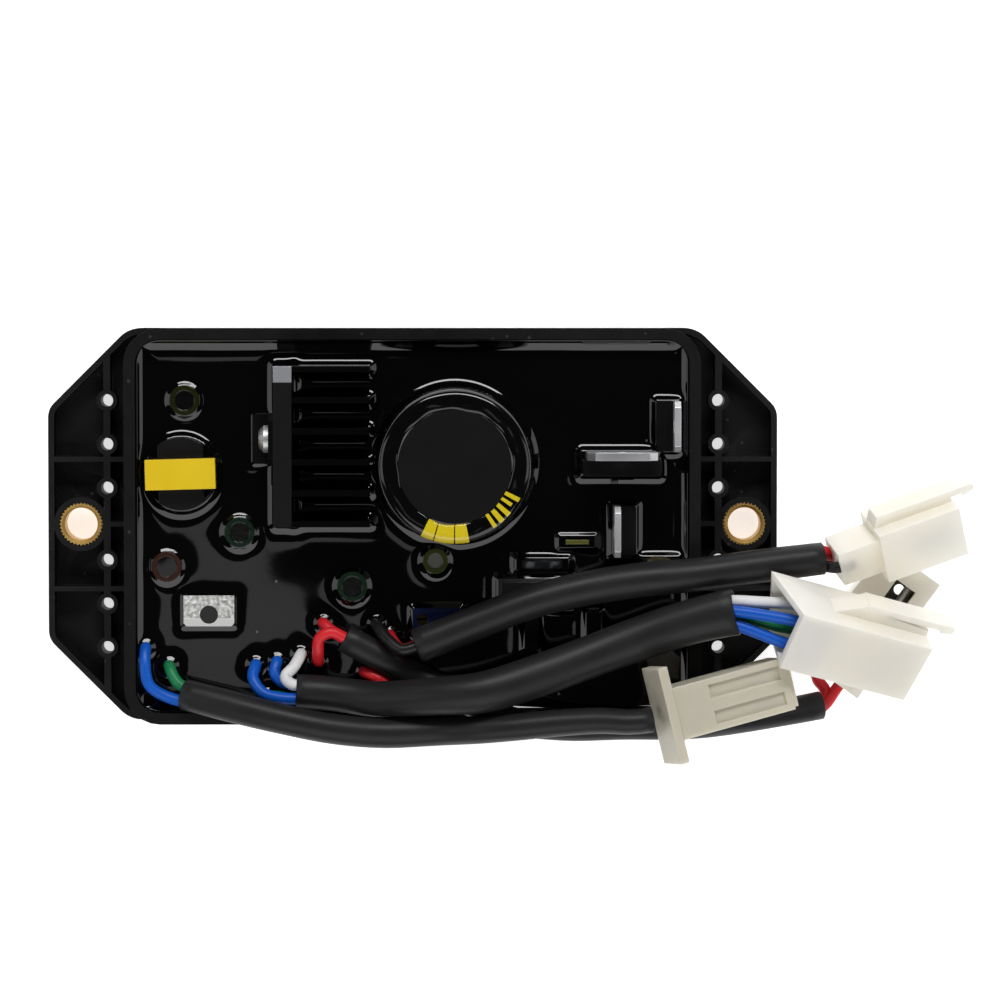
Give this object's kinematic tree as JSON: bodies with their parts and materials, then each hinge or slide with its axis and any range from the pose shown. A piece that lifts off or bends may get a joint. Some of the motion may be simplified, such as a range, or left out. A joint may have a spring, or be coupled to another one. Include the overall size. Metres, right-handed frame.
{
  "type": "automatic voltage regulator",
  "caption": "Potted generator voltage regulator: shallow black tray with ribbed mounting ears, electronic parts standing out of glossy resin, sleeved leads ending in nylon connectors.",
  "frame": {"origin": "middle of the tray's flat back", "axes": "+Z out of the tray's open side, +X along the ears towards the connectors"},
  "size_m": [0.1828, 0.0851, 0.036],
  "materials": {
    "case_plastic": "satin moulded",
    "brass": "turned",
    "board": "laminate",
    "resin": "cast, glossy",
    "bare_metal": "tinned or bare",
    "capacitor_wrap": "shrunk film",
    "capacitor_end": "matt",
    "anodised": "dark anodised",
    "package": "moulded",
    "olive": "lacquered",
    "yellow_tape": "polyester tape",
    "brown_wrap": "dipped",
    "green_wrap": "shrunk film",
    "trimmer_blue": "moulded",
    "sleeving": "extruded, satin",
    "wire_blue": "extruded",
    "wire_green": "extruded",
    "wire_white": "extruded",
    "wire_red": "extruded",
    "nylon": "natural nylon"
  },
  "bodies": {
    "root": {"case": "case_plastic", "bush_left": "brass", "bush_right": "brass", "circuit_board": "board", "potting_resin": "resin", "capacitor_can": "bare_metal", "capacitor_sleeve": "capacitor_wrap", "capacitor_disc": "capacitor_end", "heat_sink": "anodised", "heat_sink_screw": "bare_metal", "clamped_transistor_body": "package", "clamped_transistor_frame": "bare_metal", "transformer_bobbin": "package", "transformer_winding": "olive", "transformer_core": "package", "transformer_tape": "yellow_tape", "small_capacitor_1": "package", "small_capacitor_2": "green_wrap", "small_capacitor_3": "brown_wrap", "small_capacitor_4": "green_wrap", "small_capacitor_5": "green_wrap", "flat_transistor_body": "package", "flat_transistor_frame": "bare_metal", "trimmer_body": "trimmer_blue", "trimmer_screw": "brass", "side_transistor_body": "package", "side_transistor_frame": "bare_metal", "power_transistor_body": "package", "power_transistor_frame": "bare_metal", "centre_transistor_body": "package", "centre_transistor_frame": "bare_metal", "driver_transistor_1": "package", "driver_transistor_2": "package", "varistor": "package", "disc_capacitor": "brown_wrap", "film_capacitor": "package", "axial_resistor": "olive", "sleeve_flange": "sleeving", "sleeve_four_way": "sleeving", "sleeve_two_way": "sleeving", "sleeve_socket": "sleeving", "wire_blue_flange": "wire_blue", "wire_green_flange": "wire_green", "wire_blue_left": "wire_blue", "wire_blue_right": "wire_blue", "wire_white": "wire_white", "wire_green": "wire_green", "wire_red_plug": "wire_red", "wire_black_plug": "sleeving", "wire_red_upper": "wire_red", "wire_red_lower": "wire_red", "wire_jumper": "wire_red", "plug_two_way": "nylon", "plug_four_way": "nylon", "socket_two_way": "nylon", "socket_flanged": "nylon", "contacts_two_way": "brass", "contacts_four_way": "brass", "pins_socket": "brass", "pins_flanged": "brass"}
  },
  "joints": []
}
